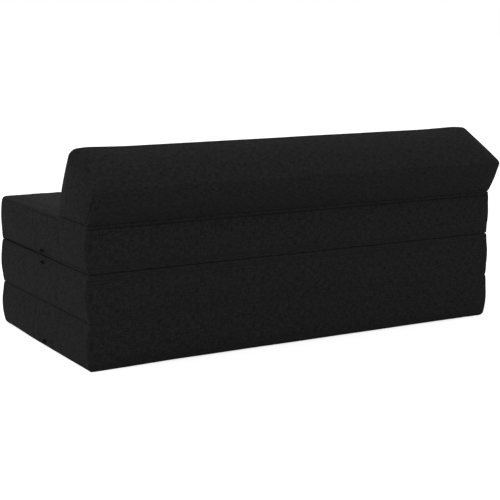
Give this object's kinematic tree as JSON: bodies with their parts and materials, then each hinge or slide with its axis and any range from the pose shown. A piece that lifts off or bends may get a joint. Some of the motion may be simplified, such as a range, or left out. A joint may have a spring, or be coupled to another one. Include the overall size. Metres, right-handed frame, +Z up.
{
  "type": "sofa bed",
  "caption": "Black cloth-covered foam sofa bed: hinged stacked panels under a wedge bolster, which unfold rearwards into a flat floor bed",
  "frame": {"origin": "on the floor under the middle of the stack of panels, at the height the bottom panel rests on", "axes": "+Z up, the sitter looks along -Y, +X is the sitter's left and the long way of the sofa"},
  "size_m": [1.3739, 0.7374, 0.5963],
  "materials": {
    "cover_cloth": "slubby plain weave, matte black",
    "foam": "open-cell polyurethane foam, hidden inside the covers",
    "zip_teeth": "black nylon coil",
    "zip_metal": "dull black plated zinc"
  },
  "bodies": {
    "bottom": {"bottom_upper_panel": "cover_cloth", "bottom_lower_panel": "cover_cloth", "bottom_front_band": "cover_cloth", "bottom_rear_band": "cover_cloth", "bottom_left_end": "cover_cloth", "bottom_right_end": "cover_cloth", "bottom_foam_core": "foam", "bottom_zip_chain": "zip_teeth"},
    "bottom_slider": {"bottom_zip_slider": "zip_metal"},
    "bottom_tab": {"bottom_zip_tab": "zip_metal"},
    "middle": {"middle_upper_panel": "cover_cloth", "middle_lower_panel": "cover_cloth", "middle_front_band": "cover_cloth", "middle_rear_band": "cover_cloth", "middle_left_end": "cover_cloth", "middle_right_end": "cover_cloth", "middle_foam_core": "foam", "middle_zip_chain": "zip_teeth"},
    "middle_slider": {"middle_zip_slider": "zip_metal"},
    "middle_tab": {"middle_zip_tab": "zip_metal"},
    "seat": {"seat_upper_panel": "cover_cloth", "seat_lower_panel": "cover_cloth", "seat_front_band": "cover_cloth", "seat_rear_band": "cover_cloth", "seat_left_end": "cover_cloth", "seat_right_end": "cover_cloth", "seat_foam_core": "foam", "seat_zip_chain": "zip_teeth"},
    "seat_slider": {"seat_zip_slider": "zip_metal"},
    "seat_tab": {"seat_zip_tab": "zip_metal"},
    "bolster": {"bolster_base_panel": "cover_cloth", "bolster_rear_panel": "cover_cloth", "bolster_slope_panel": "cover_cloth", "bolster_front_panel": "cover_cloth", "bolster_left_end": "cover_cloth", "bolster_right_end": "cover_cloth", "bolster_foam_core": "foam"}
  },
  "joints": [
    {"name": "unfold", "type": "hinge", "parent": "bottom", "child": "middle", "pos_m": [0, 0.3385, 0.133], "axis": [-1, 0, 0], "range_deg": [0, 180]},
    {"name": "seat_fold", "type": "hinge", "parent": "middle", "child": "seat", "pos_m": [0, -0.3385, 0.266], "axis": [1, 0, 0], "range_deg": [0, 180]},
    {"name": "bolster_swing", "type": "hinge", "parent": "seat", "child": "bolster", "pos_m": [0, 0.3385, 0.399], "axis": [-1, 0, 0], "range_deg": [0, 145]},
    {"name": "bottom_zip", "type": "slide", "parent": "bottom", "child": "bottom_slider", "axis": [0, 1, 0], "range_m": [0, 0.3]},
    {"name": "bottom_tab_turn", "type": "hinge", "parent": "bottom_slider", "child": "bottom_tab", "pos_m": [0.68578, 0.0055, 0.01594], "axis": [-0.1777, 0, -0.9841], "range_deg": [0, 180]},
    {"name": "middle_zip", "type": "slide", "parent": "middle", "child": "middle_slider", "axis": [0, 1, 0], "range_m": [0, 0.3]},
    {"name": "middle_tab_turn", "type": "hinge", "parent": "middle_slider", "child": "middle_tab", "pos_m": [0.68578, 0.0055, 0.24991], "axis": [0.1779, 0, -0.9841], "range_deg": [0, 180]},
    {"name": "seat_zip", "type": "slide", "parent": "seat", "child": "seat_slider", "axis": [0, 1, 0], "range_m": [0, 0.3]},
    {"name": "seat_tab_turn", "type": "hinge", "parent": "seat_slider", "child": "seat_tab", "pos_m": [0.68567, 0.0055, 0.2821], "axis": [-0.1737, 0, -0.9848], "range_deg": [0, 180]}
  ],
  "couplings": [
    {"joint": "seat_fold", "follows": "unfold", "ratio": 1}
  ]
}
